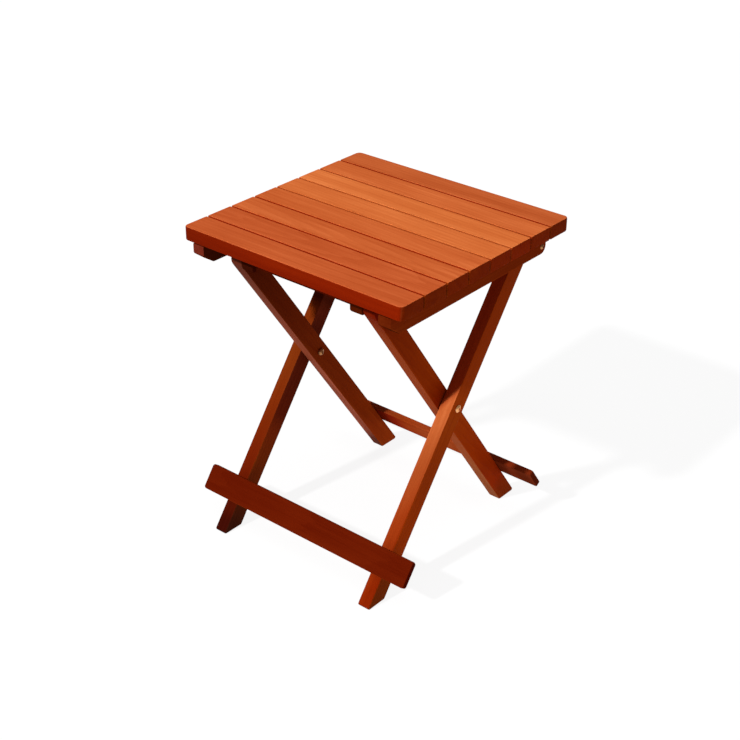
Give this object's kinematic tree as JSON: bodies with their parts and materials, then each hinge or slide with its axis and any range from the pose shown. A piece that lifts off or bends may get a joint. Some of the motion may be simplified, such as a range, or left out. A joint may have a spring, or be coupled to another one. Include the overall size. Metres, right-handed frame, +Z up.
{
  "type": "folding picnic table",
  "caption": "Small folding picnic table: slatted hardwood top hinged on crossed legs with stretcher boards, held open by hook cleats over a round catch bar.",
  "frame": {"origin": "on the floor, under the middle of the open table's bounding box", "axes": "+X along the slats, -Y towards the front edge with the catch, +Z up"},
  "size_m": [0.4028, 0.3966, 0.5035],
  "materials": {
    "top_wood": "red-brown stain and oil, satin",
    "rail_wood": "red-brown stain and oil, satin",
    "leg_wood": "red-brown stain and oil, satin",
    "stretcher_wood": "red-brown stain and oil, satin",
    "bar_wood": "red-brown stain and oil, satin",
    "peg_wood": "bare beech",
    "brassed_steel": "brass-plated steel, lightly worn",
    "zinc_steel": "zinc plated"
  },
  "bodies": {
    "outer_frame": {"front_peg_left_1": "peg_wood", "front_peg_left_2": "peg_wood", "front_peg_right_1": "peg_wood", "front_peg_right_2": "peg_wood", "front_stretcher": "stretcher_wood", "hinge_bolt_left": "brassed_steel", "hinge_bolt_right": "brassed_steel", "hinge_nut_left": "zinc_steel", "hinge_nut_right": "zinc_steel", "hinge_spacer_left": "zinc_steel", "hinge_spacer_right": "zinc_steel", "outer_leg_left": "leg_wood", "outer_leg_right": "leg_wood", "scissor_bolt_left": "brassed_steel", "scissor_bolt_right": "brassed_steel", "scissor_washer_left": "zinc_steel", "scissor_washer_right": "zinc_steel"},
    "top": {"cleat_screw_left_1": "zinc_steel", "cleat_screw_left_2": "zinc_steel", "cleat_screw_right_1": "zinc_steel", "cleat_screw_right_2": "zinc_steel", "hook_cleat_left": "rail_wood", "hook_cleat_right": "rail_wood", "rail_left": "rail_wood", "rail_right": "rail_wood", "slat_1": "top_wood", "slat_2": "top_wood", "slat_3": "top_wood", "slat_4": "top_wood", "slat_5": "top_wood", "slat_6": "top_wood", "slat_7": "top_wood", "slat_8": "top_wood", "slat_peg_left_1": "peg_wood", "slat_peg_left_2": "peg_wood", "slat_peg_left_3": "peg_wood", "slat_peg_left_4": "peg_wood", "slat_peg_left_5": "peg_wood", "slat_peg_left_6": "peg_wood", "slat_peg_left_7": "peg_wood", "slat_peg_left_8": "peg_wood", "slat_peg_right_1": "peg_wood", "slat_peg_right_2": "peg_wood", "slat_peg_right_3": "peg_wood", "slat_peg_right_4": "peg_wood", "slat_peg_right_5": "peg_wood", "slat_peg_right_6": "peg_wood", "slat_peg_right_7": "peg_wood", "slat_peg_right_8": "peg_wood"},
    "inner_frame": {"catch_bar": "bar_wood", "inner_leg_left": "leg_wood", "inner_leg_right": "leg_wood", "rear_peg_left_1": "peg_wood", "rear_peg_left_2": "peg_wood", "rear_peg_right_1": "peg_wood", "rear_peg_right_2": "peg_wood", "rear_stretcher": "stretcher_wood", "scissor_nut_left": "brassed_steel", "scissor_nut_right": "brassed_steel"}
  },
  "joints": [
    {"name": "top_hinge", "type": "hinge", "parent": "outer_frame", "child": "top", "pos_m": [0, 0.15766, 0.46445], "axis": [-1, 0, 0], "range_deg": [0, 126]},
    {"name": "leg_scissor", "type": "hinge", "parent": "outer_frame", "child": "inner_frame", "pos_m": [0, 0.00186, 0.2512], "axis": [-1, 0, 0], "range_deg": [0, 71]}
  ],
  "couplings": [
    {"joint": "leg_scissor", "follows": "top_hinge", "ratio": 0.5634}
  ]
}
